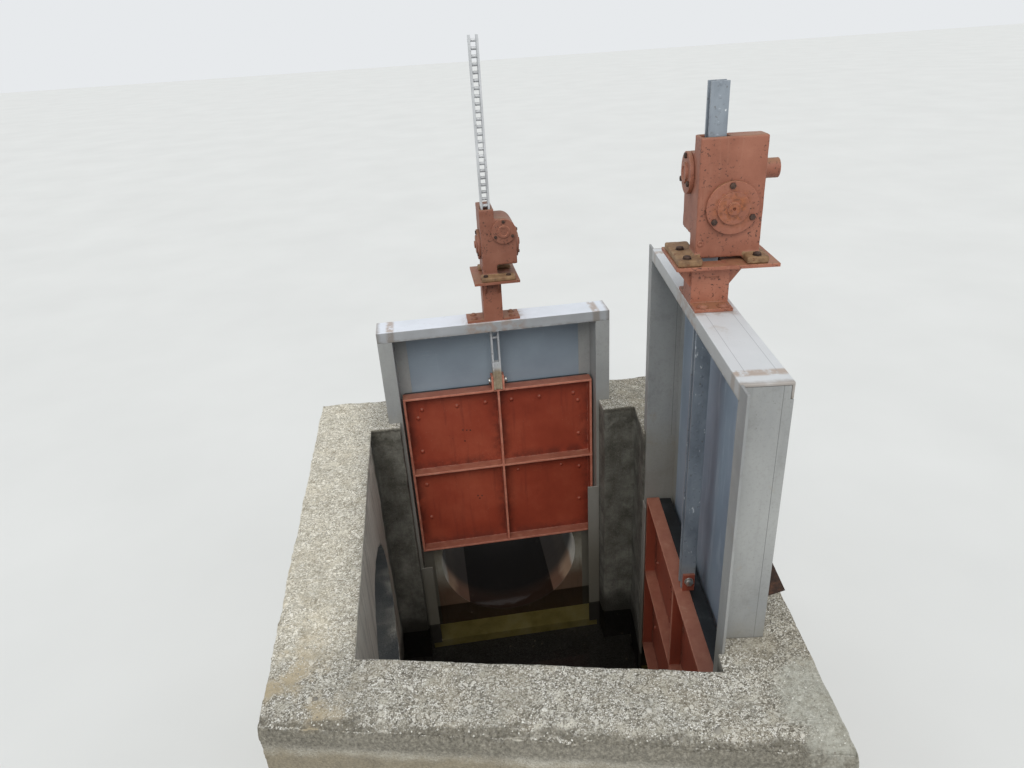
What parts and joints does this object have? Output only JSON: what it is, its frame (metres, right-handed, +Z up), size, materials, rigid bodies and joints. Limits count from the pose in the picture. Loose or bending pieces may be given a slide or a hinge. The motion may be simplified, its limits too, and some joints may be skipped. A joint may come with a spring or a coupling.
{
  "type": "sluice gate",
  "caption": "Open concrete gate chamber with two rack-lifted sluice gates in steel frames, each closing a round culvert in its wall.",
  "frame": {"origin": "middle of the chamber's underside", "axes": "+X to the right along the rear gate, +Y from the front wall to the rear gate, +Z up"},
  "size_m": [1.4579, 2.2192, 2.66],
  "materials": {
    "concrete": "rough",
    "pipe_concrete": "smooth",
    "stainless_post": "brushed",
    "pale_beam": "satin",
    "plate_grey": "satin",
    "plate_low": "satin",
    "sill_steel": "stained",
    "rusty_steel": "rusty",
    "pedestal_steel": "red oxide paint",
    "red_oxide_iron": "red oxide paint",
    "shaft_steel": "stained",
    "leaf_paint": "worn red oxide",
    "black_rubber": "matte",
    "bolt_steel": "bright",
    "rack_steel": "galvanised"
  },
  "bodies": {
    "chamber": {"chamber_walls": "concrete", "rear_culvert_pipe": "pipe_concrete", "rear_side_posts": "stainless_post", "rear_top_beam": "pale_beam", "rear_breast_plate": "plate_grey", "rear_culvert_plate": "plate_low", "rear_sill_beam": "sill_steel", "rear_retainer_strips": "stainless_post", "rear_hoist_pedestal": "pedestal_steel", "rear_hoist_casting": "red_oxide_iron", "rear_worm_cover": "red_oxide_iron", "rear_wheel_cover": "red_oxide_iron", "rear_shaft_cover": "red_oxide_iron", "rear_worm_shaft": "shaft_steel", "right_culvert_pipe": "pipe_concrete", "right_side_posts": "stainless_post", "right_top_beam": "pale_beam", "right_breast_plate": "plate_grey", "right_culvert_plate": "plate_low", "right_sill_beam": "sill_steel", "right_retainer_strips": "stainless_post", "right_post_bracket": "rusty_steel", "right_hoist_pedestal": "pedestal_steel", "right_hoist_casting": "red_oxide_iron", "right_worm_cover": "red_oxide_iron", "right_wheel_cover": "red_oxide_iron", "right_shaft_cover": "red_oxide_iron", "right_worm_shaft": "shaft_steel"},
    "rear_leaf": {"rear_gate_leaf": "leaf_paint", "rear_leaf_seal": "black_rubber", "rear_rack_lugs": "leaf_paint", "rear_rack_bolt": "bolt_steel", "rear_rack_bars": "rack_steel", "rear_rack_pins": "rack_steel"},
    "right_leaf": {"right_gate_leaf": "leaf_paint", "right_leaf_seal": "black_rubber", "right_rack_lugs": "leaf_paint", "right_rack_bolt": "bolt_steel", "right_rack_bars": "rack_steel", "right_rack_pins": "rack_steel"}
  },
  "joints": [
    {"name": "rear_leaf_lift", "type": "slide", "parent": "chamber", "child": "rear_leaf", "axis": [0, 0, 1], "range_m": [-0.476, 0.19]},
    {"name": "right_leaf_lift", "type": "slide", "parent": "chamber", "child": "right_leaf", "axis": [0, 0, 1], "range_m": [-0.133, 0.69]}
  ]
}
